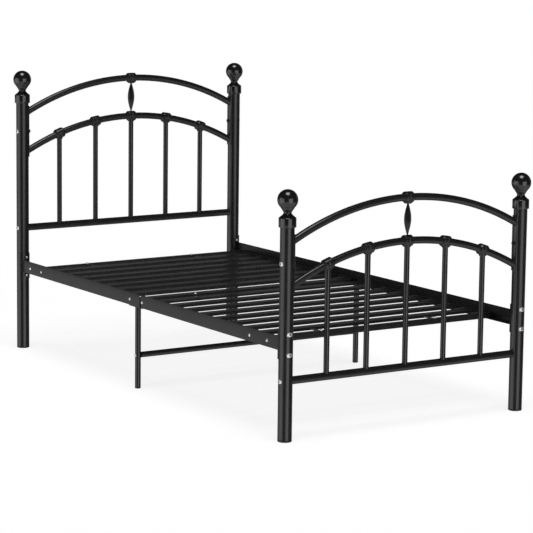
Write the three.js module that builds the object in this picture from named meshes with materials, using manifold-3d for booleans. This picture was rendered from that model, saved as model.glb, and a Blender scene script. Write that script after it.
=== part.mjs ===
// Single metal bed frame: four round posts with ball finials, an arched headboard and
// footboard, two-piece angle-iron side rails, two slatted base halves and a middle support.
// Units are millimetres. +X runs across the bed, +Y points to the head end, +Z is up.
// The origin is on the floor, under the centre of the bed.
import * as THREE from 'three';
import { mergeVertices } from 'three/addons/utils/BufferGeometryUtils.js';
import Module from 'manifold-3d';

const wasm = await Module();
wasm.setup();

// ---------------------------------------------------------------- driving dimensions
const GAP = 0.3;                    // clearance kept between pieces that touch

const POST_SPACING_X = 1010;        // centre to centre, across the bed
const POST_SPACING_Y = 1950;        // centre to centre, along the bed
const POST_R = 25;
const POST_WALL = 1.5;
const POST_SIDES = 16;

const FOOT_CAP_FLANGE = 6;          // visible height of the plastic cap under a post
const FOOT_CAP_SPIGOT = 20;

const CAP_DEPTH = 14;               // how far the finial's cap reaches down over the tube
const CAP_R = 30.5;
const CAP_HEIGHT = 30;
const CAP_CHAMFER = 3;
const NECK_R = 14;
const NECK_Z = 49;                  // above the cap's lower rim
const BALL_R = 36;
const BALL_Z = 94;
const SPIGOT_LENGTH = 30;

const ARCH_BEND_R = 1015;           // centre-line radius of all four arches
const ARCH_TUBE_R = 13;
const BAR_TUBE_R = 14;
const PANEL_TUBE_WALL = 1.5;
const ARCH_STEPS = 14;
const TUBE_SIDES = 12;
const BORE_SIDES = 6;                // bores of the arch tubes
const CAST_SIDES = 8;                // collars, bolts and bolt holes

const SPINDLE_R = 10;
const SPINDLE_WALL = 1.2;
const SPINDLE_PITCH = 168;
const SPINDLES_PER_PANEL = 5;

const COLLAR_R = 18;                // cast collar clasping an arch
const COLLAR_BAND_R = 20.5;
const COLLAR_LENGTH = 43;
const COLLAR_BAND = 20;
const SOCKET_DROP = 24;             // from the arch's centre line to the socket's mouth
const SOCKET_TOP_R = 14.5;
const SOCKET_LOW_R = 11.5;

const LEAF_R = 16;                  // four-sided leaf drop, corner radius at its middle
const LEAF_END_R = 4;

const PLATE_T = 3;                  // saddle plates that hug the posts
const PANEL_PLATE_SPREAD = 38;      // half angle of a panel's saddle plate, degrees
const PANEL_PLATE_MARGIN = 24;      // how far the plate runs past the two arch ends

const RAIL_BOTTOM = 316;
const RAIL_HEIGHT = 50;
const RAIL_T = 2.5;
const RAIL_FLANGE = 30;
const RAIL_OFFSET = 12;             // web's outer face outside the post's axis
const RAIL_PLATE_HEIGHT = 104;
const RAIL_JOINT = 10;              // open joint between the two halves of a rail
const RAIL_BOLT_RISE = 36;          // rail bolts above and below the rail's middle

const BASE_HEIGHT = 20;             // frame of a slatted base half
const BASE_SIDE_WIDTH = 20;
const BASE_CLEARANCE = 4;           // from the web to the base
const END_BEAM_WIDTH = 22;
const MID_BEAM_WIDTH = 50;
const MID_GAP = 40;                 // between the two base halves
const SLAT_WIDTH = 46;
const SLAT_T = 11;
const SLATS_PER_HALF = 7;
const BASE_HALF_LENGTH = 865;       // from the middle legs to the far side of the end beam

const LEG_R = 11;
const LEG_WALL = 1.5;
const LEG_CAP_FLANGE = 5;
const LEG_Y = 40;                   // the middle legs stand just beside the rail joint
const LEG_PLATE_LENGTH = 100;
const LEG_PLATE_WIDTH = 26;
const LEG_PLATE_T = 3;
const CROSSBAR_Z = 128;

const BOLT_R = 4;
const BOLT_HOLE_R = 4.6;
const BOLT_HEAD_R = 11;
const BOLT_HEAD_H = 4;
const NUT_R = 7.5;
const NUT_H = 6;

// The two panels share every size except their heights.
const PANELS = [
  { name: 'head', y: POST_SPACING_Y / 2, capZ: 1004, upperZ: 1088, innerZ: 930, barZ: 495 },
  { name: 'foot', y: -POST_SPACING_Y / 2, capZ: 745, upperZ: 817, innerZ: 663, barZ: 212 },
];
const SIDES = [{ name: 'left', sign: -1 }, { name: 'right', sign: 1 }];

// ---------------------------------------------------------------- materials
const blackSteel = { color: 0x161617, roughness: 0.42, metalness: 0.35 };
const blackGloss = { color: 0x0e0e0f, roughness: 0.18, metalness: 0.3 };
const zinc = { color: 0xb9bcc0, roughness: 0.3, metalness: 1.0 };
const plastic = { color: 0x111112, roughness: 0.6, metalness: 0.0 };

// ---------------------------------------------------------------- shape helpers
function solid(geometry, matrix = new THREE.Matrix4()) {
  const bare = geometry.clone().applyMatrix4(matrix);
  bare.deleteAttribute('normal');
  bare.deleteAttribute('uv');
  const merged = mergeVertices(bare, 1e-3);
  return new wasm.Manifold(new wasm.Mesh({
    numProp: 3,
    vertProperties: new Float32Array(merged.attributes.position.array),
    triVerts: new Uint32Array(merged.index.array),
  }));
}

function geometryOf(body) {
  const mesh = body.getMesh();
  const geometry = new THREE.BufferGeometry();
  geometry.setAttribute('position', new THREE.BufferAttribute(mesh.vertProperties, 3));
  geometry.setIndex(new THREE.BufferAttribute(mesh.triVerts, 1));
  geometry.computeVertexNormals();
  return geometry;
}

function box(x0, x1, y0, y1, z0, z1) {
  const centre = new THREE.Matrix4().makeTranslation((x0 + x1) / 2, (y0 + y1) / 2, (z0 + z1) / 2);
  return solid(new THREE.BoxGeometry(Math.abs(x1 - x0), Math.abs(y1 - y0), Math.abs(z1 - z0)), centre);
}

function frameAlong(from, direction) {
  const turn = new THREE.Quaternion().setFromUnitVectors(new THREE.Vector3(0, 1, 0), direction);
  return new THREE.Matrix4().compose(from, turn, new THREE.Vector3(1, 1, 1));
}

// A turned solid: the profile is [radius, height] pairs along an axis from a point.
function turned(profile, sides, from, direction) {
  const points = profile.map(([r, h]) => new THREE.Vector2(r, h));
  return solid(new THREE.LatheGeometry(points, sides), frameAlong(from, direction));
}

const UP = new THREE.Vector3(0, 0, 1);

function rod(r, from, direction, length, sides = TUBE_SIDES) {
  return turned([[0, 0], [r, 0], [r, length], [0, length]], sides, from, direction);
}

class PanelArc extends THREE.Curve {
  constructor(y, apexZ) {
    super();
    this.y = y;
    this.apexZ = apexZ;
    this.halfAngle = Math.asin((POST_SPACING_X / 2) / ARCH_BEND_R);
  }
  getPoint(t) {
    const angle = this.halfAngle * (2 * t - 1);
    const drop = ARCH_BEND_R * (1 - Math.cos(angle));
    return new THREE.Vector3(ARCH_BEND_R * Math.sin(angle), this.y, this.apexZ - drop);
  }
  tAt(x) {
    return (Math.asin(x / ARCH_BEND_R) / this.halfAngle + 1) / 2;
  }
}

function sweep(curve, r, sides) {
  const corner = (k) => new THREE.Vector2(r, 0).rotateAround(new THREE.Vector2(), k * 2 * Math.PI / sides);
  const section = new THREE.Shape(Array.from({ length: sides }, (_, k) => corner(k)));
  const options = { steps: ARCH_STEPS, bevelEnabled: false, extrudePath: curve };
  return solid(new THREE.ExtrudeGeometry(section, options));
}

// Part of a tube wall that hugs a post, between two angles seen from above.
function saddle(x, y, startDeg, endDeg, z0, z1) {
  const inner = POST_R + GAP;
  const outer = inner + PLATE_T;
  const steps = 8;
  const at = (r, k) => {
    const angle = THREE.MathUtils.degToRad(startDeg + (endDeg - startDeg) * k / steps);
    return new THREE.Vector2(r * Math.cos(angle), r * Math.sin(angle));
  };
  const ring = Array.from({ length: steps + 1 }, (_, k) => at(outer, k));
  ring.push(...Array.from({ length: steps + 1 }, (_, k) => at(inner, steps - k)));
  const strip = new THREE.ExtrudeGeometry(new THREE.Shape(ring), { depth: z1 - z0, bevelEnabled: false });
  return solid(strip, new THREE.Matrix4().makeTranslation(x, y, z0));
}

// ---------------------------------------------------------------- assembly helpers
const group = new THREE.Group();

function add(name, body, finish) {
  const mesh = new THREE.Mesh(geometryOf(body), new THREE.MeshStandardMaterial({ ...finish }));
  mesh.name = name;
  group.add(mesh);
}

const at = (x, y, z) => new THREE.Vector3(x, y, z);
const alongX = (sign) => new THREE.Vector3(sign, 0, 0);
const alongY = (sign) => new THREE.Vector3(0, sign, 0);

function boltHole(axisPoint, direction) {
  const reach = 2 * POST_R;
  const start = axisPoint.clone().addScaledVector(direction, -reach);
  return rod(BOLT_HOLE_R, start, direction, 2 * reach, CAST_SIDES);
}

// Dome head against the post on one side, nut against the saddle plate on the other.
function bolt(axisPoint, direction) {
  const headAt = POST_R + GAP;
  const nutAt = -(POST_R + 2 * GAP + PLATE_T);
  return turned([
    [0, nutAt - NUT_H], [NUT_R, nutAt - NUT_H], [NUT_R, nutAt], [BOLT_R, nutAt],
    [BOLT_R, headAt], [BOLT_HEAD_R, headAt], [BOLT_HEAD_R, headAt + 0.3 * BOLT_HEAD_H],
    [0.72 * BOLT_HEAD_R, headAt + 0.8 * BOLT_HEAD_H], [0, headAt + BOLT_HEAD_H],
  ], CAST_SIDES, axisPoint, direction);
}

const railMidZ = RAIL_BOTTOM + RAIL_HEIGHT / 2;
const railBoltHeights = [railMidZ - RAIL_BOLT_RISE, railMidZ + RAIL_BOLT_RISE];

function archEndZ(apexZ) {
  const half = POST_SPACING_X / 2 - POST_R;
  return apexZ - ARCH_BEND_R + Math.sqrt(ARCH_BEND_R ** 2 - half ** 2);
}

function panelBoltZ(panel) {
  return (archEndZ(panel.upperZ) + archEndZ(panel.innerZ)) / 2;
}

// ---------------------------------------------------------------- posts, finials, foot caps
function post(x, panel, inward) {
  const top = panel.capZ + CAP_DEPTH;
  const start = FOOT_CAP_FLANGE + GAP;
  let body = rod(POST_R, at(x, panel.y, start), UP, top - start, POST_SIDES);
  body = body.subtract(rod(POST_R - POST_WALL, at(x, panel.y, 0), UP, top + 1, POST_SIDES));
  for (const z of railBoltHeights) {
    body = body.subtract(boltHole(at(x, panel.y, z), alongY(1)));
  }
  for (const z of [panelBoltZ(panel), panel.barZ]) {
    body = body.subtract(boltHole(at(x, panel.y, z), alongX(inward)));
  }
  return body;
}

function finial(x, panel) {
  const bore = POST_R + GAP;
  const plug = POST_R - POST_WALL - GAP;
  const seat = CAP_DEPTH + GAP;
  const ballStart = Math.asin(0.8 * NECK_R / BALL_R);
  const profile = [
    [0, CAP_DEPTH - SPIGOT_LENGTH], [plug, CAP_DEPTH - SPIGOT_LENGTH], [plug, seat], [bore, seat],
    [bore, 0], [CAP_R, 0], [CAP_R, CAP_HEIGHT], [CAP_R - CAP_CHAMFER, CAP_HEIGHT + CAP_CHAMFER],
    [1.35 * NECK_R, (CAP_HEIGHT + CAP_CHAMFER + NECK_Z) / 2], [NECK_R, NECK_Z],
  ];
  const rings = 7;
  for (let k = 1; k <= rings; k += 1) {
    const angle = ballStart + (Math.PI - ballStart) * k / rings;
    profile.push([k === rings ? 0 : BALL_R * Math.sin(angle), BALL_Z - BALL_R * Math.cos(angle)]);
  }
  return turned(profile, POST_SIDES, at(x, panel.y, panel.capZ), UP);
}

function footCap(r, wall, flange, sides, x, y) {
  const plug = r - wall - GAP;
  return turned([
    [0, 0], [r - 2, 0], [r, 2], [r, flange], [plug, flange],
    [plug, flange + FOOT_CAP_SPIGOT], [0, flange + FOOT_CAP_SPIGOT],
  ], sides, at(x, y, 0), UP);
}

for (const panel of PANELS) {
  for (const side of SIDES) {
    const x = side.sign * POST_SPACING_X / 2;
    const corner = `${panel.name}_${side.name}`;
    add(`${corner}_post`, post(x, panel, -side.sign), blackSteel);
    add(`${corner}_finial`, finial(x, panel), blackGloss);
    add(`${corner}_foot_cap`, footCap(POST_R, POST_WALL, FOOT_CAP_FLANGE, POST_SIDES, x, panel.y), plastic);
  }
}

// ---------------------------------------------------------------- headboard and footboard
function postSleeves(panel, r) {
  const height = 1400;
  const sleeve = (sign) => rod(r, at(sign * POST_SPACING_X / 2, panel.y, 0), UP, height, POST_SIDES);
  return sleeve(-1).add(sleeve(1));
}

function arch(panel, curve) {
  const hug = postSleeves(panel, POST_R + PLATE_T + 3 * GAP);
  const tube = sweep(curve, ARCH_TUBE_R, TUBE_SIDES);
  return tube.subtract(sweep(curve, ARCH_TUBE_R - PANEL_TUBE_WALL, BORE_SIDES)).subtract(hug);
}

function bottomBar(panel) {
  const half = POST_SPACING_X / 2;
  const start = at(-half, panel.y, panel.barZ);
  const tube = rod(BAR_TUBE_R, start, alongX(1), 2 * half);
  const bore = rod(BAR_TUBE_R - PANEL_TUBE_WALL, start, alongX(1), 2 * half);
  return tube.subtract(bore).subtract(postSleeves(panel, POST_R + 2 * GAP));
}

function collar(curve, x) {
  const t = curve.tAt(x);
  const centre = curve.getPoint(t);
  const direction = curve.getTangent(t);
  const start = centre.clone().addScaledVector(direction, -COLLAR_LENGTH / 2);
  const step = (COLLAR_LENGTH - COLLAR_BAND) / 2;
  const body = turned([
    [0, 0], [COLLAR_R, 0], [COLLAR_R, step], [COLLAR_BAND_R, step + 2],
    [COLLAR_BAND_R, COLLAR_LENGTH - step - 2], [COLLAR_R, COLLAR_LENGTH - step],
    [COLLAR_R, COLLAR_LENGTH], [0, COLLAR_LENGTH],
  ], CAST_SIDES, start, direction);
  const socket = turned([
    [0, 0], [SOCKET_TOP_R, 0], [SOCKET_LOW_R, SOCKET_DROP], [0, SOCKET_DROP],
  ], CAST_SIDES, centre, UP.clone().negate());
  return body.add(socket);
}

function archHole(curve) {
  return sweep(curve, ARCH_TUBE_R + GAP, TUBE_SIDES);
}

function spindle(panel, innerCurve, x) {
  const socketZ = innerCurve.getPoint(innerCurve.tAt(x)).z - SOCKET_DROP;
  const length = socketZ + 2 - panel.barZ;
  const tube = rod(SPINDLE_R, at(x, panel.y, panel.barZ), UP, length);
  const bore = rod(SPINDLE_R - SPINDLE_WALL, at(x, panel.y, panel.barZ), UP, length - 6);
  const barStart = at(x - COLLAR_LENGTH, panel.y, panel.barZ);
  const barSleeve = rod(BAR_TUBE_R + GAP, barStart, alongX(1), 2 * COLLAR_LENGTH);
  const whole = tube.add(collar(innerCurve, x).subtract(archHole(innerCurve)));
  return whole.subtract(bore).subtract(barSleeve);
}

// Leaf drop hanging from the upper arch's centre collar down to the inner arch's collar.
function ornament(panel, upperCurve) {
  const top = panel.upperZ - SOCKET_DROP + 2;
  const bottom = panel.innerZ + COLLAR_BAND_R + GAP;
  const middle = (top - bottom) / 2;
  const leaf = turned([
    [0, 0], [LEAF_END_R, 0], [0.55 * LEAF_R, 0.35 * middle], [LEAF_R, middle],
    [0.55 * LEAF_R, 1.65 * middle], [LEAF_END_R, 2 * middle], [0, 2 * middle],
  ], 4, at(0, panel.y, bottom), UP);
  return leaf.add(collar(upperCurve, 0).subtract(archHole(upperCurve)));
}

function panelPlate(panel, side) {
  const x = side.sign * POST_SPACING_X / 2;
  const facing = side.sign < 0 ? 0 : 180;
  const z0 = archEndZ(panel.innerZ) - PANEL_PLATE_MARGIN;
  const z1 = archEndZ(panel.upperZ) + PANEL_PLATE_MARGIN;
  const strip = saddle(x, panel.y, facing - PANEL_PLATE_SPREAD, facing + PANEL_PLATE_SPREAD, z0, z1);
  return strip.subtract(boltHole(at(x, panel.y, panelBoltZ(panel)), alongX(1)));
}

for (const panel of PANELS) {
  const upperCurve = new PanelArc(panel.y, panel.upperZ);
  const innerCurve = new PanelArc(panel.y, panel.innerZ);
  add(`${panel.name}_upper_arch`, arch(panel, upperCurve), blackSteel);
  add(`${panel.name}_inner_arch`, arch(panel, innerCurve), blackSteel);
  add(`${panel.name}_bottom_bar`, bottomBar(panel), blackSteel);
  for (let k = 0; k < SPINDLES_PER_PANEL; k += 1) {
    const x = (k - (SPINDLES_PER_PANEL - 1) / 2) * SPINDLE_PITCH;
    add(`${panel.name}_spindle_${k + 1}`, spindle(panel, innerCurve, x), blackSteel);
  }
  add(`${panel.name}_leaf_ornament`, ornament(panel, upperCurve), blackSteel);
  for (const side of SIDES) {
    add(`${panel.name}_${side.name}_panel_plate`, panelPlate(panel, side), blackSteel);
    const axisPoint = at(side.sign * POST_SPACING_X / 2, panel.y, panelBoltZ(panel));
    add(`${panel.name}_${side.name}_panel_bolt`, bolt(axisPoint, alongX(side.sign)), zinc);
  }
}

// ---------------------------------------------------------------- side rails
const webOuterX = POST_SPACING_X / 2 + RAIL_OFFSET;
const webInnerX = webOuterX - RAIL_T;

// Half a side rail: angle iron with a saddle plate welded to its post end.
function sideRail(panel, side) {
  const s = side.sign;
  const end = Math.sign(panel.y);
  const postX = s * POST_SPACING_X / 2;
  const start = end * RAIL_JOINT / 2;
  const web = box(s * webInnerX, s * webOuterX, start, panel.y, RAIL_BOTTOM, RAIL_BOTTOM + RAIL_HEIGHT);
  const flangeEnd = panel.y - end * (POST_R + PLATE_T);
  const flange = box(s * (webOuterX - RAIL_FLANGE), s * webOuterX, start, flangeEnd,
    RAIL_BOTTOM, RAIL_BOTTOM + RAIL_T);
  const facing = end > 0 ? -90 : 90;
  const outward = s * end > 0 ? 1 : -1;
  const plateZ = railMidZ - RAIL_PLATE_HEIGHT / 2;
  const turns = [facing - 50 * outward, facing + 75 * outward].sort((a, b) => a - b);
  const plate = saddle(postX, panel.y, ...turns, plateZ, plateZ + RAIL_PLATE_HEIGHT);
  const roomR = POST_R + GAP + 0.2 * PLATE_T;
  const postRoom = rod(roomR, at(postX, panel.y, 0), UP, 2 * RAIL_BOTTOM, POST_SIDES);
  let body = web.add(flange).subtract(postRoom);
  const beyondPost = box(s * (webInnerX - RAIL_FLANGE), s * (webOuterX + 1),
    panel.y, panel.y + end * 2 * POST_R, 0, 2 * RAIL_BOTTOM);
  body = body.subtract(beyondPost).add(plate);
  for (const z of railBoltHeights) {
    body = body.subtract(boltHole(at(postX, panel.y, z), alongY(1)));
  }
  return body;
}

for (const panel of PANELS) {
  for (const side of SIDES) {
    const corner = `${panel.name}_${side.name}`;
    add(`${corner}_side_rail`, sideRail(panel, side), blackSteel);
    railBoltHeights.forEach((z, k) => {
      const axisPoint = at(side.sign * POST_SPACING_X / 2, panel.y, z);
      const level = k === 0 ? 'lower' : 'upper';
      add(`${corner}_rail_bolt_${level}`, bolt(axisPoint, alongY(Math.sign(panel.y))), zinc);
    });
  }
}

// ---------------------------------------------------------------- slatted base halves
const baseBottom = RAIL_BOTTOM + RAIL_T + GAP;
const baseTop = baseBottom + BASE_HEIGHT;
const baseHalfWidth = webInnerX - BASE_CLEARANCE;

function rectangle(PathClass, x0, x1, y0, y1) {
  return new PathClass([[x0, y0], [x1, y0], [x1, y1], [x0, y1]].map(([x, y]) => new THREE.Vector2(x, y)));
}

// One welded half: slats and beams in one plane, on two side bars and an end beam below it.
// The two halves meet above the middle legs.
function slattedBase(panel) {
  const near = MID_GAP / 2;
  const far = BASE_HALF_LENGTH;
  const inner = baseHalfWidth - BASE_SIDE_WIDTH;
  const room = far - END_BEAM_WIDTH - near - MID_BEAM_WIDTH;
  const opening = (room - SLATS_PER_HALF * SLAT_WIDTH) / (SLATS_PER_HALF + 1);
  const plan = rectangle(THREE.Shape, -baseHalfWidth, baseHalfWidth, near, far);
  for (let k = 0; k <= SLATS_PER_HALF; k += 1) {
    const y0 = near + MID_BEAM_WIDTH + k * (SLAT_WIDTH + opening);
    plan.holes.push(rectangle(THREE.Path, -inner, inner, y0, y0 + opening));
  }
  const deck = solid(new THREE.ExtrudeGeometry(plan, { depth: SLAT_T, bevelEnabled: false }),
    new THREE.Matrix4().makeTranslation(0, 0, baseTop - SLAT_T));
  const lapZ = baseTop - SLAT_T / 2;
  const edge = 1;
  let body = deck;
  for (const side of SIDES) {
    body = body.add(box(side.sign * (inner + edge), side.sign * (baseHalfWidth - edge),
      near + edge, far - edge, baseBottom, lapZ));
  }
  body = body.add(box(-inner - 2 * edge, inner + 2 * edge, far - END_BEAM_WIDTH + edge, far - 2 * edge,
    baseBottom, lapZ));
  return (panel.y > 0 ? body : body.rotate([0, 0, 180])).translate([0, LEG_Y, 0]);
}

for (const panel of PANELS) {
  add(`${panel.name}_slatted_base`, slattedBase(panel), blackSteel);
}

// ---------------------------------------------------------------- middle support
const legX = webOuterX - RAIL_FLANGE / 2;

function middleLeg(side) {
  const x = side.sign * legX;
  const top = RAIL_BOTTOM - GAP;
  const start = LEG_CAP_FLANGE + GAP;
  const tube = rod(LEG_R, at(x, LEG_Y, start), UP, top - LEG_PLATE_T / 2 - start);
  const bore = rod(LEG_R - LEG_WALL, at(x, LEG_Y, 0), UP, top - LEG_PLATE_T);
  const plate = box(x - LEG_PLATE_WIDTH / 2, x + LEG_PLATE_WIDTH / 2,
    LEG_Y - LEG_PLATE_LENGTH / 2, LEG_Y + LEG_PLATE_LENGTH / 2, top - LEG_PLATE_T, top);
  return tube.subtract(bore).add(plate);
}

function crossbar() {
  const reach = legX - LEG_R;
  const start = at(-reach, LEG_Y, CROSSBAR_Z);
  const tube = rod(LEG_R, start, alongX(1), 2 * reach);
  const bore = rod(LEG_R - LEG_WALL, start, alongX(1), 2 * reach);
  const legSleeve = (sign) => rod(LEG_R + 2 * GAP, at(sign * legX, LEG_Y, 0), UP, 2 * CROSSBAR_Z);
  return tube.subtract(bore).subtract(legSleeve(-1).add(legSleeve(1)));
}

for (const side of SIDES) {
  add(`${side.name}_middle_leg`, middleLeg(side), blackSteel);
  const cap = footCap(LEG_R, LEG_WALL, LEG_CAP_FLANGE, TUBE_SIDES, side.sign * legX, LEG_Y);
  add(`${side.name}_leg_cap`, cap, plastic);
}
add('middle_crossbar', crossbar(), blackSteel);

export default group;
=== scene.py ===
# The visual model of the metal bed frame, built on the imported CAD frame. Units are metres.
# +X runs across the bed, +Y points to the head end, +Z is up, and the floor is at Z = 0.
import math

import bmesh
import bpy
from mathutils import Matrix, Vector, noise


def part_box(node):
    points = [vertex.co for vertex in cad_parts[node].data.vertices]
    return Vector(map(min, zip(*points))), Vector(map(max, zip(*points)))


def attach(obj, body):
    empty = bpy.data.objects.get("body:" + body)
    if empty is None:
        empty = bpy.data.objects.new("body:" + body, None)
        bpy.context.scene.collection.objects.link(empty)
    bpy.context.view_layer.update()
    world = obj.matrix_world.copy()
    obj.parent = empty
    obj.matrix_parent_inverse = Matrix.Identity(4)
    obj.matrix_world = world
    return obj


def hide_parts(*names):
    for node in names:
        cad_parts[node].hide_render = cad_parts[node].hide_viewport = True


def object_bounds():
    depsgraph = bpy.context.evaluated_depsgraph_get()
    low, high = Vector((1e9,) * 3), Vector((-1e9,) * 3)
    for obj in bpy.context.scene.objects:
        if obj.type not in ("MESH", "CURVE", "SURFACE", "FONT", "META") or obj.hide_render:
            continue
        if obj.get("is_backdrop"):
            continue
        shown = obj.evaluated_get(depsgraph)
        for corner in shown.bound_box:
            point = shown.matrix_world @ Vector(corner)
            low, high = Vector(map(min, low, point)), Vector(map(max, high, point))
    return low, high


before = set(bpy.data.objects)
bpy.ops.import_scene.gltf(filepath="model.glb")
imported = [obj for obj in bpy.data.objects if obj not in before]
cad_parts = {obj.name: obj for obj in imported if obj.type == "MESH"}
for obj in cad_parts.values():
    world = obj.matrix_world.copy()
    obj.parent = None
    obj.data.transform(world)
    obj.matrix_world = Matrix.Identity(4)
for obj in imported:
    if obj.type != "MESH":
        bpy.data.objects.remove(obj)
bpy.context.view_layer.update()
scene = bpy.context.scene

MM = 0.001
BODY = "root"
SIDES = {"left": -1, "right": 1}
PANELS = {"head": 1, "foot": -1}
ACROSS = Vector((1, 0, 0))
ALONG = Vector((0, 1, 0))
UP = Vector((0, 0, 1))

# ---------------------------------------------------------------- sizes
ROUND = 64                       # points round a post or finial
SMALL_ROUND = 48                 # points round a bolt head, nut or collar
TUBE_ROUND = 40                  # points round a panel tube

post_low, post_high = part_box("head_right_post")
POST_R = (post_high[0] - post_low[0]) / 2
POST_X = (post_high[0] + post_low[0]) / 2
POST_Y = (post_high[1] + post_low[1]) / 2
POST_START = post_low[2]
POST_WALL = 1.5 * MM
CAP_DEPTH = 14 * MM              # how far a finial's cap reaches down over its post

arch_low, arch_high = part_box("head_upper_arch")
ARCH_R = (arch_high[1] - arch_low[1]) / 2
ARCH_BEND_R = 1015 * MM          # radius of an arch's middle line
bar_low, bar_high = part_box("head_bottom_bar")
BAR_R = (bar_high[1] - bar_low[1]) / 2
SPINDLE_R = 10 * MM
SPINDLE_PITCH = 168 * MM
SPINDLES = 5
COLLAR_REACH = 19 * MM           # from an arch's middle line to the end of a spindle or leaf
LEAF_TIP_R = 2.6 * MM
LEAF_R = 15.9 * MM

PLATE_T = 3 * MM
PLATE_GAP = 0.3 * MM
PLATE_FACE_R = POST_R + PLATE_GAP + PLATE_T
PLATE_SEAT_R = POST_R + 0.05 * MM        # the inner face of a plate, close to its post
PLATE_SPREAD = math.radians(38)          # how far a panel's plate reaches to each side
RAIL_SADDLE_INNER = math.radians(50)     # how far a rail's saddle reaches round its post
RAIL_SADDLE_OUTER = math.radians(75)

BITE = 0.3 * MM                  # how far a welded end runs into its neighbour
BAR_GAP = 0.2 * MM               # between a bottom bar and its posts
ARCH_WELD = 1.7 * MM
SPINDLE_WELD = 1.3 * MM
LEG_WELD = 1.5 * MM

rail_low, rail_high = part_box("foot_right_side_rail")
WEB_X = POST_X + 12 * MM         # outer face of a rail's upright web
RAIL_PLATE_BOTTOM, RAIL_PLATE_TOP = rail_low[2], rail_high[2]
RAIL_MIDDLE = (rail_low[2] + rail_high[2]) / 2
RAIL_HEIGHT = 50 * MM
RAIL_T = 2.5 * MM
RAIL_FLANGE = 30 * MM
RAIL_CORNER = 1.1 * MM
RAIL_JOINT = -rail_high[1]       # half the open joint between two rail halves
RAIL_SCREW_R = 6 * MM
RAIL_SCREW_H = 2.8 * MM
RAIL_SCREW_SINK = 0.2 * MM
RAIL_SCREW_DROP = 3 * MM         # below the rail's middle line
RAIL_SCREWS_Y = (-874 * MM, -762 * MM, -14 * MM, 78 * MM, 794 * MM, 888 * MM)

BOLT_RISE = 36 * MM              # of a rail bolt above or below the rail's middle line
HEAD_R = 11 * MM
HEAD_H = 3.6 * MM
HEAD_SOCKET = 3 * MM
HEAD_SINK = 2.4 * MM             # depth of a head's flat seat in the round post
NUT_FLAT_R = 6.2 * MM
NUT_H = 5.2 * MM
STUD_R = 3.9 * MM
STUD_PROUD = 1.2 * MM
END_R = 4.6 * MM                 # the bright end of a rail bolt
END_H = 2.6 * MM
END_SEAT = 6.2 * MM              # its height above the plate

base_low, base_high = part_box("head_slatted_base")
BASE_X = base_high[0]
BASE_TOP = base_high[2]
BASE_BOTTOM = base_low[2]
BASE_SIDE = 20 * MM
SLAT_WIDTH = 46 * MM
SLAT_INNER = 12.6 * MM           # depth of the flange that faces the middle legs
SLAT_OUTER = 10.4 * MM           # and of the other one
MID_DROP = 2.4 * MM              # the two middle beams sit a little lower than the slats
SLATS = 7
MID_BEAM = 50 * MM
END_BEAM = 22 * MM
SHEET = 1.6 * MM
SLAT_CROWN = 0.5 * MM
SLAT_FOLD = 1.6 * MM             # outer radius of a slat's folded edges
BASE_CORNER = 2 * MM             # rounding of the side tubes and end beams
TAB_X = 250 * MM                 # a strap joins each end beam to its nearest slat here
TAB_HALF = 9 * MM
TAB_LAP = 4 * MM
TAB_T = 2.5 * MM
BASE_SCREW_R = 6.4 * MM
BASE_SCREW_H = 4.8 * MM
BASE_SCREW_SINK = 0.4 * MM
MID_SCREW_X = 232 * MM

leg_low, leg_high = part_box("right_middle_leg")
LEG_X = (leg_low[0] + leg_high[0]) / 2
LEG_Y = (leg_low[1] + leg_high[1]) / 2
LEG_R = 11 * MM
LEG_START = leg_low[2]
LEG_TOP = leg_high[2]
LEG_PLATE_T = 3 * MM
LEG_PLATE_CORNER = 5 * MM
cross_low, cross_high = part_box("middle_crossbar")
CROSSBAR_Z = (cross_low[2] + cross_high[2]) / 2
CROSS_HEAD_R = 6 * MM
CROSS_HEAD_H = 3.4 * MM
CROSS_HEAD_SOCKET = 1.8 * MM
CROSS_HEAD_SINK = 0.4 * MM
BASE_START = base_low[1] - LEG_Y         # the two ends of a base half, from the middle legs
BASE_END = base_high[1] - LEG_Y
MID_SCREW_Y = BASE_START + 0.17 * MID_BEAM


def middle_z(node):
    """The height of a node's middle."""
    low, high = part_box(node)
    return (low[2] + high[2]) / 2


def apex_z(node):
    """The height of an arch's middle line at its top."""
    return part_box(node)[1][2] - ARCH_R


# ---------------------------------------------------------------- materials
def material(name, base, **values):
    """A Principled material, its node tree and its shader; uniform values sit on the shader's sockets."""
    made = bpy.data.materials.new(name)
    made.use_nodes = True
    shader = made.node_tree.nodes["Principled BSDF"]
    shader.inputs["Base Color"].default_value = (*base, 1)
    for socket, value in values.items():
        shader.inputs[socket.replace("_", " ")].default_value = value
    return made, made.node_tree, shader


def link_noise(tree, scale, detail, low, high, target):
    """Noise in object space, mapped to low..high and sent to a socket."""
    place = tree.nodes.new("ShaderNodeTexCoord")
    cloud = tree.nodes.new("ShaderNodeTexNoise")
    spread = tree.nodes.new("ShaderNodeMapRange")
    cloud.inputs["Scale"].default_value = scale
    cloud.inputs["Detail"].default_value = detail
    spread.inputs["From Min"].default_value = 0.3
    spread.inputs["From Max"].default_value = 0.7
    spread.inputs["To Min"].default_value = low
    spread.inputs["To Max"].default_value = high
    tree.links.new(place.outputs["Object"], cloud.inputs["Vector"])
    tree.links.new(cloud.outputs["Fac"], spread.inputs["Value"])
    tree.links.new(spread.outputs["Result"], target)


def link_bump(tree, shader, scale, detail, depth, strength):
    """A fine surface texture such as the orange peel of a powder coat."""
    place = tree.nodes.new("ShaderNodeTexCoord")
    cloud = tree.nodes.new("ShaderNodeTexNoise")
    bump = tree.nodes.new("ShaderNodeBump")
    cloud.inputs["Scale"].default_value = scale
    cloud.inputs["Detail"].default_value = detail
    bump.inputs["Distance"].default_value = depth
    bump.inputs["Strength"].default_value = strength
    tree.links.new(place.outputs["Object"], cloud.inputs["Vector"])
    tree.links.new(cloud.outputs["Fac"], bump.inputs["Height"])
    tree.links.new(bump.outputs["Normal"], shader.inputs["Normal"])


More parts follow.
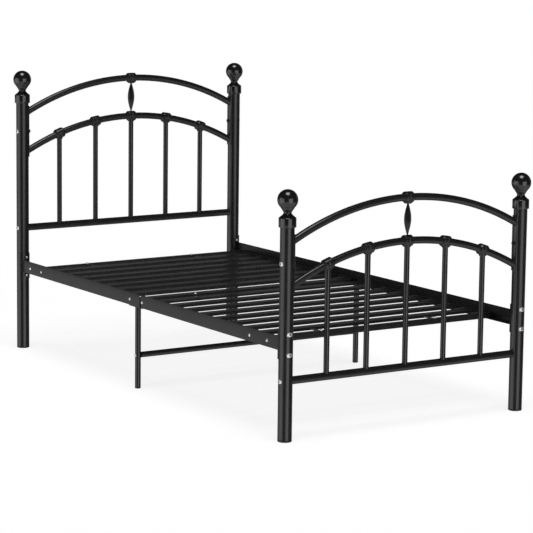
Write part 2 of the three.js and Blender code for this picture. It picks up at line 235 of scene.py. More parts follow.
def tint(tree, shader, scale, dark, light):
    """Slow colour drift between two shades of the coat."""
    ramp = tree.nodes.new("ShaderNodeValToRGB")
    ramp.color_ramp.elements[0].color = (*dark, 1)
    ramp.color_ramp.elements[1].color = (*light, 1)
    link_noise(tree, scale, 4, 0, 1, ramp.inputs["Fac"])
    tree.links.new(ramp.outputs["Color"], shader.inputs["Base Color"])


def powder_coat():
    """Satin black with a faint orange peel."""
    made, tree, shader = material("black_powder_coat", (0.012, 0.012, 0.013), Metallic=0.0, IOR=1.5)
    tint(tree, shader, 9, (0.010, 0.010, 0.011), (0.015, 0.015, 0.016))
    link_noise(tree, 35, 3, 0.22, 0.28, shader.inputs["Roughness"])
    link_bump(tree, shader, 620, 2, 0.25 * MM, 0.10)
    return made


def gloss_enamel():
    """A smoother, glossier black for the finials."""
    made, tree, shader = material("black_gloss_enamel", (0.012, 0.012, 0.013), Metallic=0.0, IOR=1.5,
                                  Coat_Weight=0.35, Coat_Roughness=0.05)
    tint(tree, shader, 14, (0.007, 0.007, 0.008), (0.011, 0.011, 0.012))
    link_noise(tree, 40, 3, 0.15, 0.20, shader.inputs["Roughness"])
    link_bump(tree, shader, 300, 2, 0.2 * MM, 0.08)
    return made


def zinc_plate():
    """Bright, slightly mottled plating for bolt and screw heads."""
    made, tree, shader = material("bright_zinc", (0.74, 0.75, 0.77), Metallic=1.0)
    tint(tree, shader, 260, (0.74, 0.75, 0.76), (0.90, 0.90, 0.91))
    link_noise(tree, 700, 4, 0.42, 0.58, shader.inputs["Roughness"])
    link_bump(tree, shader, 1800, 3, 0.1 * MM, 0.25)
    return made


def moulded_plastic():
    """Dull black plastic with a fine grain."""
    made, tree, shader = material("black_moulded_plastic", (0.015, 0.015, 0.015), Metallic=0.0, IOR=1.46)
    tint(tree, shader, 30, (0.012, 0.012, 0.012), (0.022, 0.022, 0.022))
    link_noise(tree, 90, 3, 0.48, 0.62, shader.inputs["Roughness"])
    link_bump(tree, shader, 1500, 3, 0.2 * MM, 0.35)
    return made


COAT = (powder_coat(), "black_steel")
GLOSS = (gloss_enamel(), "black_gloss")
ZINC = (zinc_plate(), "zinc_bolt")
PLASTIC = (moulded_plastic(), "plastic_cap")


# ---------------------------------------------------------------- shapes as (points, faces)
def full_turn(count):
    """Evenly spaced angles round a circle."""
    return [2 * math.pi * k / count for k in range(count)]


def ring(centre, first, second, r, count):
    """Points of a circle in the plane of two unit vectors."""
    middle = Vector(centre)
    return [middle + first * (r * math.cos(a)) + second * (r * math.sin(a)) for a in full_turn(count)]


def loft(rings, loop=False):
    """A skin over rings with equal counts; open ends get a flat cap."""
    count = len(rings[0])
    points = [point for one in rings for point in one]
    faces = []
    for i in range(len(rings) if loop else len(rings) - 1):
        a, b = i * count, (i + 1) % len(rings) * count
        faces += [(a + k, a + (k + 1) % count, b + (k + 1) % count, b + k) for k in range(count)]
    if not loop:
        faces.append(tuple(reversed(range(count))))
        faces.append(tuple(range(len(points) - count, len(points))))
    return points, faces


def join(*parts):
    """Several parts as one."""
    points, faces = [], []
    for part_points, part_faces in parts:
        base = len(points)
        points += part_points
        faces += [tuple(base + k for k in face) for face in part_faces]
    return points, faces


def moved(part, matrix):
    """A part placed by a matrix."""
    return [matrix @ Vector(point) for point in part[0]], part[1]


def turned(profile, count=ROUND, centre=(0, 0, 0)):
    """A body of revolution about a vertical axis: profile is (radius, height) pairs."""
    x, y, z = centre
    return loft([ring((x, y, z + h), ACROSS, ALONG, max(r, 1e-5), count) for r, h in profile])


def rectangle(low, high):
    """The outline of a rectangle between two opposite corners."""
    return [(low[0], low[1]), (high[0], low[1]), (high[0], high[1]), (low[0], high[1])]


def rounded(corners, r, steps=4):
    """An outline with each corner replaced by a small arc-like curve."""
    out = []
    count = len(corners)
    for k in range(count):
        here = Vector(corners[k])
        before = Vector(corners[k - 1]) - here
        after = Vector(corners[(k + 1) % count]) - here
        cut = min(r, before.length / 2.01, after.length / 2.01)
        a, b = here + before.normalized() * cut, here + after.normalized() * cut
        for i in range(steps + 1):
            t = i / steps
            out.append(a * (1 - t) ** 2 + here * (2 * t * (1 - t)) + b * t ** 2)
    return out


def prism(outline, axis, low, high):
    """An outline of two coordinates pushed along one axis: 'x', 'y' or 'z'."""
    def at(point, level):
        u, v = point
        return {"x": Vector((level, u, v)), "y": Vector((u, level, v)), "z": Vector((u, v, level))}[axis]
    return loft([[at(point, level) for point in outline] for level in (low, high)])


def smooth_path(points, steps=6):
    """A Catmull-Rom curve through the points."""
    padded = [points[0], *points, points[-1]]
    out = []
    for k in range(1, len(padded) - 2):
        p0, p1, p2, p3 = [Vector(p) for p in padded[k - 1:k + 3]]
        for i in range(steps):
            t = i / steps
            out.append(0.5 * (2 * p1 + (p2 - p0) * t + (2 * p0 - 5 * p1 + 4 * p2 - p3) * t ** 2
                              + (3 * p1 - p0 - 3 * p2 + p3) * t ** 3))
    return out + [Vector(points[-1])]


def bead(path, r, middle):
    """A weld bead round a closed path, with the slight ripple of a weld under paint."""
    rings = []
    for k, point in enumerate(path):
        ahead = (path[(k + 1) % len(path)] - path[k - 1]).normalized()
        out = (point - middle).normalized()
        side = ahead.cross(out).normalized()
        swell = r * (1 + 0.22 * noise.noise(point * 400))
        rings.append(ring(point, out, side, swell, 8))
    return loft(rings, loop=True)


def piece(name, part, finish, *nodes, crease=20, bevel=0.0):
    """A finished mesh object that rides on the frame and may stand for CAD nodes."""
    mesh = bpy.data.meshes.new(name)
    points, faces = part
    mesh.from_pydata([tuple(p) for p in points], [], faces)
    form = bmesh.new()
    form.from_mesh(mesh)
    bmesh.ops.recalc_face_normals(form, faces=form.faces)
    if bevel:
        sharp = [e for e in form.edges if len(e.link_faces) == 2 and e.calc_face_angle() > math.radians(40)]
        bmesh.ops.bevel(form, geom=sharp, offset=bevel, segments=2, profile=0.5, affect="EDGES",
                        clamp_overlap=True)
    form.to_mesh(mesh)
    form.free()
    mesh.shade_smooth()
    mesh.set_sharp_from_angle(angle=math.radians(crease))
    return dress(name, mesh, finish, *nodes)


def dress(name, mesh, finish, *nodes):
    """An object for a mesh, with its finish, its body and the CAD nodes that it stands for."""
    made = bpy.data.objects.new(name, mesh)
    scene.collection.objects.link(made)
    mesh.materials.append(finish[0])
    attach(made, BODY)
    if nodes:
        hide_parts(*nodes)
    return made


# ---------------------------------------------------------------- posts
def post_part(x, y, top):
    """An open tube with a softened lower rim."""
    soft = 0.8 * MM
    profile = [(POST_R - POST_WALL, POST_START), (POST_R - soft, POST_START), (POST_R, POST_START + soft),
               (POST_R, top), (POST_R - POST_WALL, top)]
    rings = [ring((x, y, z), ACROSS, ALONG, r, ROUND) for r, z in profile]
    return loft(rings, loop=True)


def finial_part(x, y, z):
    """A deep cap over the tube, a drawn-in neck and a ball; the numbers are millimetres."""
    cap_r, cap_top = 30.5, 31.0
    ball_r, ball_z, ball_foot = 35.9, 94.0, 68.0
    profile = [(25.2, 0.0), (cap_r - 1, 0.0), (cap_r - 0.3, 0.3), (cap_r, 1.0), (cap_r, cap_top),
               (cap_r - 0.4, cap_top + 1.2), (cap_r - 1.6, cap_top + 2.4)]
    drawn_in = [(cap_r - 1.8, 33.6), (22.4, 38.6), (16.6, 44.0), (14.1, 49.3), (16.4, 54.8), (20.6, 61.2)]
    ball_start = math.acos((ball_z - ball_foot) / ball_r)
    drawn_in.append((ball_r * math.sin(ball_start), ball_foot))
    profile += [tuple(point) for point in smooth_path(drawn_in)[:-1]]
    steps = 30
    for k in range(steps):
        a = ball_start + (math.pi - ball_start) * k / steps
        profile.append((ball_r * math.sin(a), ball_z - ball_r * math.cos(a)))
    profile.append((0.02, ball_z + ball_r))
    return turned([(r * MM, h * MM) for r, h in profile], ROUND, (x, y, z))


def foot_cap_part(x, y, r, flange):
    """A moulded cap: its sole has a rounded edge, and its rim at height flange meets the tube."""
    sole = [(4, 0), (2, 0), (0.9, 0.4), (0.2, 1.4), (0, 2.6)]        # inset and height, millimetres
    profile = [(r - inset * MM, height * MM) for inset, height in sole]
    profile += [(r, flange - 0.5 * MM), (r - 0.5 * MM, flange), (r - 3 * MM, flange)]
    return turned(profile, ROUND, (x, y, 0))


for panel, end in PANELS.items():
    for side, sign in SIDES.items():
        corner = f"{panel}_{side}"
        x, y = sign * POST_X, end * POST_Y
        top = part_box(f"{corner}_post")[1][2]
        piece(f"{corner}_post_tube", post_part(x, y, top), COAT, f"{corner}_post")
        finial = finial_part(x, y, top - CAP_DEPTH)
        piece(f"{corner}_ball_finial", finial, GLOSS, f"{corner}_finial", crease=50)
        foot_cap = foot_cap_part(x, y, POST_R, POST_START - PLATE_GAP)
        piece(f"{corner}_plastic_foot", foot_cap, PLASTIC, f"{corner}_foot_cap")


# ---------------------------------------------------------------- bolts
def hex_r(angle, flat_r):
    """Radius of a hexagon at an angle, from the radius of its flats."""
    return flat_r / math.cos((angle % (math.pi / 3)) - math.pi / 6)


def hexagon(flat_r, height, limit=math.inf):
    """A level ring of points on a hexagon, its corners cut back to a radius if one is given."""
    turns = full_turn(SMALL_ROUND)
    reach = [min(hex_r(a, flat_r), limit) for a in turns]
    return [Vector((q * math.cos(a), q * math.sin(a), height)) for q, a in zip(reach, turns)]


def bolt_head(r, height, socket_r):
    """A domed flange head with a hexagon socket, its seat at height 0."""
    rim = 0.22 * height
    dome_r, dome_z = 0.8 * r, rim + 0.5 * MM
    dome_turn = math.radians(68)
    levels = [(r - 0.3 * MM, 0), (r, 0.3 * MM), (r, rim), (r - 0.4 * MM, rim + 0.35 * MM), (dome_r, dome_z)]
    for k in range(1, 7):
        a = k / 6 * dome_turn
        rise = (height - dome_z) * math.sin(a) / math.sin(dome_turn)
        levels.append((dome_r * math.cos(a), dome_z + rise))
    rings = [ring((0, 0, h), ACROSS, ALONG, q, SMALL_ROUND) for q, h in levels]
    rings += [hexagon(socket_r, height), hexagon(socket_r, 0.45 * height)]
    return loft(rings)


def hex_nut(flat_r, height, stud_r, stud):
    """A hexagon nut with chamfered corners on a washer, and the end of its bolt."""
    washer_r, washer_rim, washer_h = 1.4 * flat_r, 1.35 * flat_r, 1.2 * MM
    shoulder = height - 0.8 * MM
    body = loft([hexagon(flat_r, washer_h), hexagon(flat_r, shoulder), hexagon(flat_r, height, flat_r)])
    washer = turned([(washer_rim, 0), (washer_r, 0.3 * MM), (washer_r, 0.9 * MM), (washer_rim, washer_h)],
                    SMALL_ROUND)
    tip = height + stud
    end = turned([(stud_r, 0), (stud_r, tip - 0.5 * MM), (stud_r - 0.6 * MM, tip)], 24)
    return join(washer, body, end)


def screw_head(r, height):
    """A small round-headed screw."""
    dome = [math.radians(a) for a in range(0, 90, 15)]
    levels = [(r * math.cos(a), height * (0.2 + 0.8 * math.sin(a))) for a in dome]
    return turned([(r, 0), *levels, (0.02 * r, height)], 32)


def facing(point, direction):
    """The place and turn that send local +Z along a direction."""
    return Matrix.Translation(point) @ Vector(direction).to_track_quat("Z", "Y").to_matrix().to_4x4()


def post_bolt(name, point, direction, node=None, bright_end=False):
    """A bright head outside a post and, for a bolt with a CAD node, a black nut on its inner side."""
    middle, way = Vector(point), Vector(direction)
    head = moved(bolt_head(HEAD_R, HEAD_H, HEAD_SOCKET), facing(middle + way * (POST_R - HEAD_SINK), way))
    piece(f"{name}_head", head, ZINC, *([node] if node else []))
    if node:
        nut = hex_nut(NUT_FLAT_R, NUT_H, STUD_R, STUD_PROUD)
        piece(f"{name}_nut", moved(nut, facing(middle - way * PLATE_FACE_R, -way)), COAT)
        if bright_end:
            tip = facing(middle - way * (PLATE_FACE_R + END_SEAT), -way)
            piece(f"{name}_end", moved(screw_head(END_R, END_H), tip), ZINC)


for panel, end in PANELS.items():
    for side, sign in SIDES.items():
        corner = f"{panel}_{side}"
        x, y = sign * POST_X, end * POST_Y
        for level, rise in (("lower", -BOLT_RISE), ("upper", BOLT_RISE)):
            node = f"{corner}_rail_bolt_{level}"
            place = (x, y, RAIL_MIDDLE + rise)
            post_bolt(f"{corner}_rail_{level}", place, (0, end, 0), node, bright_end=True)
        z = middle_z(f"{corner}_panel_bolt")
        post_bolt(f"{corner}_panel", (x, y, z), (sign, 0, 0), f"{corner}_panel_bolt")
        bar_z = middle_z(f"{panel}_bottom_bar")
        post_bolt(f"{corner}_bar", (x, y, bar_z), (sign, 0, 0))


# ---------------------------------------------------------------- arches and bars
def arch_point(apex, y, a):
    """A point of an arch's middle line, at angle a from its top."""
    return Vector((ARCH_BEND_R * math.sin(a), y, apex - ARCH_BEND_R * (1 - math.cos(a))))


def coped(points, way, post_x, post_y, r):
    """Slides each point along a direction until it meets a post's cylinder of radius r."""
    out = []
    flat = Vector((way.x, way.y))
    for point in points:
        gap = Vector((point.x - post_x, point.y - post_y))
        b = gap.dot(flat) / flat.length_squared
        c = (gap.length_squared - r ** 2) / flat.length_squared
        out.append(point + way * (-b - math.sqrt(max(b * b - c, 0))))
    return out


def arch_parts(apex, y):
    """A bent tube with its ends coped to the saddle plates and welded."""
    steps = 72
    limit = math.asin((POST_X - PLATE_FACE_R) / ARCH_BEND_R)
    rings = []
    for k in range(steps + 1):
        a = limit * (2 * k / steps - 1)
        outward = Vector((math.sin(a), 0, math.cos(a)))
        rings.append(ring(arch_point(apex, y, a), outward, ALONG, ARCH_R, TUBE_ROUND))
    beads = []
    for k, sign in ((0, -1), (-1, 1)):
        way = Vector((sign * math.cos(limit), 0, -math.sin(limit)))
        rings[k] = coped(rings[k], way, sign * POST_X, y, PLATE_FACE_R - BITE)
        beads.append(bead(rings[k], ARCH_WELD, arch_point(apex, y, sign * limit)))
    return join(loft(rings), *beads)


def bar_part(y, z):
    """A straight tube with its ends coped to the posts."""
    reach = POST_X - POST_R
    rings = [ring((x, y, z), ALONG, UP, BAR_R, TUBE_ROUND) for x in (-reach, -reach / 3, reach / 3, reach)]
    for k, sign in ((0, -1), (-1, 1)):
        rings[k] = coped(rings[k], ACROSS * sign, sign * POST_X, y, POST_R + BAR_GAP)
    return loft(rings)


for panel, end in PANELS.items():
    for row in ("upper", "inner"):
        node = f"{panel}_{row}_arch"
        piece(f"{panel}_{row}_arch_tube", arch_parts(apex_z(node), end * POST_Y), COAT, node)
    bar = bar_part(end * POST_Y, middle_z(f"{panel}_bottom_bar"))
    piece(f"{panel}_bottom_bar_tube", bar, COAT, f"{panel}_bottom_bar")


# ---------------------------------------------------------------- collars, spindles, leaf drops
def collar_mesh(name, point, tilt):
    """A cast clamp round an arch: a sleeve with chamfered ends, an upright rib and a short boss below."""
    half = [(20.4, 14.6), (20.1, 15.4), (14.9, 20.8), (14.0, 21.4), (12.5, 21.4)]     # millimetres
    profile = [(r, -h) for r, h in reversed(half)] + half
    sleeve = turned([(r * MM, h * MM) for r, h in profile], SMALL_ROUND)
    lie = Matrix.Rotation(math.pi / 2, 4, "Y")
    sleeve = moved(sleeve, Matrix.Rotation(tilt, 4, "Y") @ lie)
    rib_x, rib_y, rib_z = 5.5 * MM, 21.8 * MM, 14 * MM
    oval = [Vector((rib_x * math.cos(a), rib_y * math.sin(a))) for a in full_turn(32)]
    rib = moved(prism(oval, "z", -rib_z, rib_z), Matrix.Rotation(tilt, 4, "Y"))
    boss = turned([(12.6 * MM, -22.4 * MM), (13.4 * MM, -21.6 * MM), (13.6 * MM, 0)], TUBE_ROUND)
    points, faces = moved(join(sleeve, rib, boss), Matrix.Translation(point))
    rough = bpy.data.meshes.new(name + "_rough")
    rough.from_pydata([tuple(p) for p in points], [], faces)
    blank = bpy.data.objects.new(name + "_rough", rough)
    scene.collection.objects.link(blank)
    skin = blank.modifiers.new("skin", "REMESH")
    skin.mode = "VOXEL"
    skin.voxel_size = 0.95 * MM
    relax = blank.modifiers.new("relax", "SMOOTH")
    relax.factor = 0.5
    relax.iterations = 5
    cast = bpy.data.meshes.new_from_object(blank.evaluated_get(bpy.context.evaluated_depsgraph_get()))
    bpy.data.objects.remove(blank)
    bpy.data.meshes.remove(rough)
    cast.name = name
    cast.shade_smooth()
    return cast


def spindle_part(x, y, bar_z, top):
    """An upright tube, its foot shaped to the bottom bar and welded."""
    foot = [Vector((p.x, p.y, bar_z + math.sqrt(BAR_R ** 2 - (p.y - y) ** 2) - BITE))
            for p in ring((x, y, 0), ACROSS, ALONG, SPINDLE_R, TUBE_ROUND)]
    head = ring((x, y, top), ACROSS, ALONG, SPINDLE_R, TUBE_ROUND)
    return join(loft([foot, head]), bead(foot, SPINDLE_WELD, Vector((x, y, bar_z + BAR_R))))


def leaf_part(y, low, high):
    """A pointed four-sided drop: ridges face front, back and both sides."""
    steps = 40
    rings = []
    for k in range(steps + 1):
        t = k / steps
        r = LEAF_TIP_R + (LEAF_R - LEAF_TIP_R) * math.sin(math.pi * t) ** 1.15
        one = []
        for a in full_turn(ROUND):
            side = (a + math.pi / 4) % (math.pi / 2) - math.pi / 4
            square = 1 / (math.cos(side) + abs(math.sin(side)))
            blend = 0.62 * square + 0.38 * (1 - 0.1 * math.sin(2 * abs(side)))
            reach = r * blend
            one.append(Vector((reach * math.cos(a), y + reach * math.sin(a), low + (high - low) * t)))
        rings.append(one)
    return loft(rings)


for panel, end in PANELS.items():
    y = end * POST_Y
    inner, upper = apex_z(f"{panel}_inner_arch"), apex_z(f"{panel}_upper_arch")
    bar_z = middle_z(f"{panel}_bottom_bar")
    for k in range(SPINDLES):
        x = (k - (SPINDLES - 1) / 2) * SPINDLE_PITCH
        a = math.asin(x / ARCH_BEND_R)
        place = arch_point(inner, y, a)
        node = f"{panel}_spindle_{k + 1}"
        piece(f"{node}_tube", spindle_part(x, y, bar_z, place.z - COLLAR_REACH), COAT, node)
        dress(f"{node}_collar", collar_mesh(f"{node}_collar", place, a), COAT)
    dress(f"{panel}_upper_collar", collar_mesh(f"{panel}_upper_collar", arch_point(upper, y, 0), 0), COAT)
    leaf = leaf_part(y, inner + COLLAR_REACH, upper - COLLAR_REACH)
    piece(f"{panel}_leaf_drop", leaf, COAT, f"{panel}_leaf_ornament", crease=60)


# ---------------------------------------------------------------- saddle plates
def saddle_outline(x, y, start, stop):
    """The plan of a plate that hugs a post between two angles."""
    steps = 28
    turns = [start + (stop - start) * k / steps for k in range(steps + 1)]

    def arc(r, angles):
        return [Vector((x + r * math.cos(a), y + r * math.sin(a))) for a in angles]

    return arc(PLATE_FACE_R, turns) + arc(PLATE_SEAT_R, reversed(turns))


for panel, end in PANELS.items():
    for side, sign in SIDES.items():
        node = f"{panel}_{side}_panel_plate"
        low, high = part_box(node)
        middle = 0 if sign < 0 else math.pi
        outline = saddle_outline(sign * POST_X, end * POST_Y, middle - PLATE_SPREAD, middle + PLATE_SPREAD)
        part = prism(outline, "z", low[2], high[2])
        piece(f"{panel}_{side}_saddle_plate", part, COAT, node, bevel=0.9 * MM)


# ---------------------------------------------------------------- side rails
def angle_outline(x_out, z_low, height, flange, t, sign):
    """Section of an angle iron: upright web on the outside, flange turned inwards at the bottom."""
    inward = -sign
    corners = [(x_out, z_low), (x_out, z_low + height), (x_out + inward * t, z_low + height),
               (x_out + inward * t, z_low + t), (x_out + inward * flange, z_low + t),
               (x_out + inward * flange, z_low)]
    return rounded(corners, RAIL_CORNER, 3)


for panel, end in PANELS.items():
    for side, sign in SIDES.items():
        corner = f"{panel}_{side}"
        post_x, post_y = sign * POST_X, end * POST_Y
        rail_z = RAIL_MIDDLE - RAIL_HEIGHT / 2
        section = angle_outline(sign * WEB_X, rail_z, RAIL_HEIGHT, RAIL_FLANGE, RAIL_T, sign)
        web_end = math.sqrt(PLATE_FACE_R ** 2 - (WEB_X - POST_X) ** 2)
        rail = prism(section, "y", *sorted((end * RAIL_JOINT, post_y - end * web_end)))
        toward = -end * math.pi / 2
        outward = sign * end
        turns = sorted((toward - outward * RAIL_SADDLE_INNER, toward + outward * RAIL_SADDLE_OUTER))
        saddle = prism(saddle_outline(post_x, post_y, *turns), "z", RAIL_PLATE_BOTTOM, RAIL_PLATE_TOP)
        piece(f"{corner}_angle_rail", join(rail, saddle), COAT, f"{corner}_side_rail", bevel=0.7 * MM)


# ---------------------------------------------------------------- slatted base
def slat_part(y0, y1, depth0, depth1, top=BASE_TOP):
    """A folded sheet channel, its top slightly crowned, with one flange at y0 and one at y1."""
    reach = BASE_X - 0.5 * BASE_SIDE
    low0, low1 = top - depth0, top - depth1
    side = top - SLAT_CROWN
    middle, half = (y0 + y1) / 2, (y1 - y0) / 2 - SLAT_FOLD
    bends = [math.pi / 2 * k / 5 for k in range(6)]
    arc = [(SLAT_FOLD * (1 - math.cos(a)), SLAT_FOLD * (1 - math.sin(a))) for a in bends]
    left = [(y0 + u, side - v) for u, v in arc]
    crest = [(middle + half * k / 6, side + SLAT_CROWN * (1 - (k / 6) ** 2)) for k in range(-5, 6)]
    right = [(y1 - u, side - v) for u, v in reversed(arc)]
    in0, in1, ceiling = y0 + SHEET, y1 - SHEET, top - SHEET - SLAT_CROWN
    soft = 1 * MM
    under = [(in1, low1), (in1, ceiling - soft), (in1 - soft, ceiling),
             (in0 + soft, ceiling), (in0, ceiling - soft), (in0, low0)]
    outline = [(y0, low0), *left, *crest, *right, (y1, low1), *under]
    return prism([Vector(p) for p in outline], "x", -reach, reach)


def base_parts(end):
    """One half of the base: slats, a mid beam, an end beam and two side tubes, welded together."""
    room = BASE_END - END_BEAM - BASE_START - MID_BEAM
    opening = (room - SLATS * SLAT_WIDTH) / (SLATS + 1)
    parts = []

    def spans(y0, y1):
        return sorted((LEG_Y + end * y0, LEG_Y + end * y1))

    flanges = (SLAT_INNER, SLAT_OUTER)[::end]
    for k in range(SLATS):
        y0 = BASE_START + MID_BEAM + opening + k * (SLAT_WIDTH + opening)
        parts.append(slat_part(*spans(y0, y0 + SLAT_WIDTH), *flanges))
    flanges = (SLAT_INNER, SLAT_OUTER - MID_DROP)[::end]
    parts.append(slat_part(*spans(BASE_START, BASE_START + MID_BEAM), *flanges, BASE_TOP - MID_DROP))
    beam = spans(BASE_END - END_BEAM, BASE_END)
    section = rounded(rectangle((beam[0], BASE_BOTTOM), (beam[1], BASE_TOP)), BASE_CORNER)
    parts.append(prism(section, "x", BASE_SIDE - BASE_X, BASE_X - BASE_SIDE))
    for sign in SIDES.values():
        x0, x1 = sorted((sign * (BASE_X - BASE_SIDE), sign * BASE_X))
        section = rounded(rectangle((x0, BASE_BOTTOM), (x1, BASE_TOP)), BASE_CORNER)
        parts.append(prism(section, "y", *spans(BASE_START, BASE_END)))
        low, high = spans(BASE_END - END_BEAM - opening - TAB_LAP, BASE_END - END_BEAM + TAB_LAP)
        strap = rectangle((sign * TAB_X - TAB_HALF, low), (sign * TAB_X + TAB_HALF, high))
        parts.append(prism(strap, "z", BASE_TOP - 2 * TAB_T, BASE_TOP - TAB_T))
    return join(*parts)


for panel, end in PANELS.items():
    piece(f"{panel}_slat_half", base_parts(end), COAT, f"{panel}_slatted_base", bevel=0.35 * MM)

rail_screw = screw_head(RAIL_SCREW_R, RAIL_SCREW_H)
for side, sign in SIDES.items():
    x, z = sign * (WEB_X - RAIL_SCREW_SINK), RAIL_MIDDLE - RAIL_SCREW_DROP
    heads = [moved(rail_screw, facing((x, y, z), (sign, 0, 0))) for y in RAIL_SCREWS_Y]
    piece(f"{side}_rail_screws", join(*heads), ZINC)

base_screw = screw_head(BASE_SCREW_R, BASE_SCREW_H)
for panel, end in PANELS.items():
    rows = [(BASE_END - END_BEAM / 2, TAB_X, BASE_TOP)]
    if panel == "head":
        rows.append((MID_SCREW_Y, MID_SCREW_X, BASE_TOP - MID_DROP))
    heads = [moved(base_screw, Matrix.Translation((sign * x, LEG_Y + end * y, z - BASE_SCREW_SINK)))
             for y, x, z in rows for sign in SIDES.values()]
    piece(f"{panel}_base_screws", join(*heads), ZINC)


# ---------------------------------------------------------------- middle support
def tube_part(r, start, stop):
    """A straight tube between two points, closed at both ends, with softened rims."""
    way = Vector(stop) - Vector(start)
    soft = 0.5 * MM
    profile = [(r - soft, 0), (r, soft), (r, way.length - soft), (r - soft, way.length)]
    return moved(turned(profile, TUBE_ROUND), facing(start, way))


for side, sign in SIDES.items():
    x = sign * LEG_X
    under_plate = Vector((x, LEG_Y, LEG_TOP - LEG_PLATE_T))
    tube = tube_part(LEG_R, (x, LEG_Y, LEG_START), under_plate)
    outline = rounded(rectangle(*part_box(f"{side}_middle_leg")), LEG_PLATE_CORNER, 5)
    plate = prism(outline, "z", LEG_TOP - LEG_PLATE_T, LEG_TOP)
    seam = bead(ring(under_plate, ACROSS, ALONG, LEG_R, TUBE_ROUND), LEG_WELD, under_plate)
    piece(f"{side}_support_leg", join(tube, plate, seam), COAT, f"{side}_middle_leg")
    cap = foot_cap_part(x, LEG_Y, LEG_R, LEG_START - PLATE_GAP)
    piece(f"{side}_leg_foot", cap, PLASTIC, f"{side}_leg_cap")
    seat = (x + sign * (LEG_R - CROSS_HEAD_SINK), LEG_Y, CROSSBAR_Z)
    head = moved(bolt_head(CROSS_HEAD_R, CROSS_HEAD_H, CROSS_HEAD_SOCKET), facing(seat, (sign, 0, 0)))
    piece(f"{side}_crossbar_bolt", head, ZINC)

reach = LEG_X - LEG_R
crossbar = tube_part(LEG_R, (-reach, LEG_Y, CROSSBAR_Z), (reach, LEG_Y, CROSSBAR_Z))
piece("crossbar_tube", crossbar, COAT, "middle_crossbar")

# ---------------------------------------------------------------- stage, light and camera
scene.view_settings.view_transform = "Standard"

FLOOR = 60.0                     # half the side of the floor
FLOOR_DROP = 0.5 * MM
floor_mesh = bpy.data.meshes.new("studio_floor")
corners = [(-FLOOR, -FLOOR, 0), (FLOOR, -FLOOR, 0), (FLOOR, FLOOR, 0), (-FLOOR, FLOOR, 0)]
floor_mesh.from_pydata(corners, [], [(0, 1, 2, 3)])
floor = bpy.data.objects.new("studio_floor", floor_mesh)
scene.collection.objects.link(floor)
floor.location.z = -FLOOR_DROP
floor.visible_glossy = False
pale_floor = material("pale_floor", (0.36, 0.36, 0.36), Roughness=0.9, Specular_IOR_Level=0.0,
                      Emission_Color=(1, 1, 1, 1), Emission_Strength=0.80)
floor_mesh.materials.append(pale_floor[0])
floor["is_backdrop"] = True

FLOOR_GLOW = 0.72                # the bright floor as the gloss sees it
AMBIENT = 0.025
BACKDROP = 0.93                  # the studio's wall as the camera sees it
FRONT = Vector((-0.54, -0.84, 0))        # level direction from the bed towards the viewer
OVERHEAD_TILT = UP + 0.25 * FRONT
OVERHEAD = 1.6                   # strength of the overhead light
OVERHEAD_ANGLE = math.radians(34)        # how wide it looks: a broad light gives soft shadows
WINDOWS = (                      # azimuth, half width (degrees), brightness, top (Z of the direction)
    (168, 29, 1.5, 0.24),
    (126, 22, 0.5, -0.05),
    (272, 21, 1.85, 0.24),
    (18, 16, 0.25, 0.3),
    (72, 20, 0.1, 0.3),
)
WINDOW_FOOT = (-0.62, -0.48)     # each window fades in between these two values of Z
WINDOW_BLUR = 0.07               # how soft its top is, in Z
WINDOW_EDGE = 7                  # how soft its sides are, in degrees


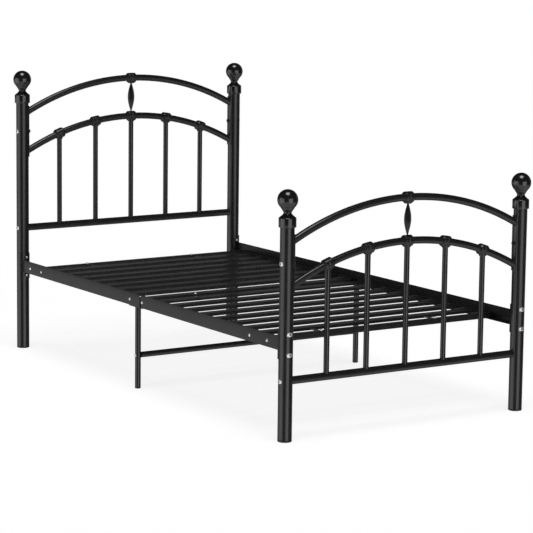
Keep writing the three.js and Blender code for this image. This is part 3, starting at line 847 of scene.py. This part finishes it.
class Studio:
    """The world's node tree: a studio whose brightness depends on the direction looked in."""

    def __init__(self):
        self.world = bpy.data.worlds.new("studio")
        self.world.use_nodes = True
        self.tree = self.world.node_tree
        place = self.tree.nodes.new("ShaderNodeTexCoord")
        self.way = place.outputs["Generated"]
        split = self.tree.nodes.new("ShaderNodeSeparateXYZ")
        self.tree.links.new(self.way, split.inputs["Vector"])
        self.height = split.outputs["Z"]

    def math(self, kind, a, b):
        """One operation on two values, each a number or another node's output."""
        node = self.tree.nodes.new("ShaderNodeMath")
        node.operation = kind
        for socket, value in zip(node.inputs, (a, b)):
            if isinstance(value, (int, float)):
                socket.default_value = value
            else:
                self.tree.links.new(value, socket)
        return node.outputs[0]

    def step(self, value, start, stop, level=1.0):
        """A soft step from 0 at start to level at stop."""
        node = self.tree.nodes.new("ShaderNodeMapRange")
        node.interpolation_type = "SMOOTHSTEP"
        node.inputs["From Min"].default_value = start
        node.inputs["From Max"].default_value = stop
        node.inputs["To Max"].default_value = level
        self.tree.links.new(value, node.inputs["Value"])
        return node.outputs["Result"]

    def towards(self, direction):
        """How far a direction of the world agrees with the given one, as a cosine."""
        dot = self.tree.nodes.new("ShaderNodeVectorMath")
        dot.operation = "DOT_PRODUCT"
        dot.inputs[1].default_value = direction
        self.tree.links.new(self.way, dot.inputs[0])
        return dot.outputs["Value"]

    def window(self, azimuth, half_width, level, top):
        """A tall softbox standing beside the object: azimuth is measured from +X towards +Y."""
        middle = math.radians(azimuth)
        agreement = self.towards((math.cos(middle), math.sin(middle), 0))
        squared = self.math("MULTIPLY", self.height, self.height)
        level_part = self.math("SQRT", self.math("SUBTRACT", 1.0, squared), 0)
        cosine = self.math("DIVIDE", agreement, level_part)
        outer = math.cos(math.radians(half_width + WINDOW_EDGE))
        inner = math.cos(math.radians(half_width - WINDOW_EDGE))
        spread = self.step(cosine, outer, inner, level)
        lower = self.step(self.height, *WINDOW_FOOT)
        upper = self.step(self.height, top + WINDOW_BLUR, top - WINDOW_BLUR)
        return self.math("MULTIPLY", spread, self.math("MULTIPLY", lower, upper))


studio = Studio()
glow = studio.step(studio.height, -0.22, -0.5, FLOOR_GLOW)
fade = studio.math("ADD", 0.25, studio.step(studio.towards(FRONT), -0.6, 0.1, 0.75))     # darker far side
glow = studio.math("MULTIPLY", glow, fade)
for window in WINDOWS:
    glow = studio.math("MAXIMUM", glow, studio.window(*window))
glow = studio.math("ADD", glow, AMBIENT)
# The backdrop is an even wall to the camera, and isn't seen in the gloss.
seen = studio.tree.nodes.new("ShaderNodeLightPath").outputs["Is Camera Ray"]
glow = studio.math("MAXIMUM", glow, studio.math("MULTIPLY", seen, BACKDROP))
studio.tree.links.new(glow, studio.tree.nodes["Background"].inputs["Strength"])
studio.tree.nodes["Background"].inputs["Color"].default_value = (1, 1, 1, 1)
scene.world = studio.world

overhead = bpy.data.lights.new("overhead", "SUN")
overhead.energy = OVERHEAD
overhead.angle = OVERHEAD_ANGLE
lamp = bpy.data.objects.new("overhead", overhead)
lamp.rotation_euler = OVERHEAD_TILT.to_track_quat("Z", "Y").to_euler()
scene.collection.objects.link(lamp)

CAMERA_PLACE = Vector((-5.028, -7.802, 1.922))
CAMERA_TURN = math.radians(33.04)        # from +Y towards +X
CAMERA_DIP = math.radians(9.11)
CAMERA_ROLL = math.radians(0.70)
CAMERA_LENS = 164.7                      # millimetres, on a sensor 36 wide

lens = bpy.data.cameras.new("camera")
lens.sensor_width = 36
lens.lens = CAMERA_LENS
lens.clip_end = 200
camera = bpy.data.objects.new("camera", lens)
camera.location = CAMERA_PLACE
look = Matrix.Rotation(-CAMERA_TURN, 4, "Z") @ Matrix.Rotation(math.pi / 2 - CAMERA_DIP, 4, "X")
camera.rotation_euler = (look @ Matrix.Rotation(CAMERA_ROLL, 4, "Z")).to_euler()
scene.collection.objects.link(camera)
scene.camera = camera

low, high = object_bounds()
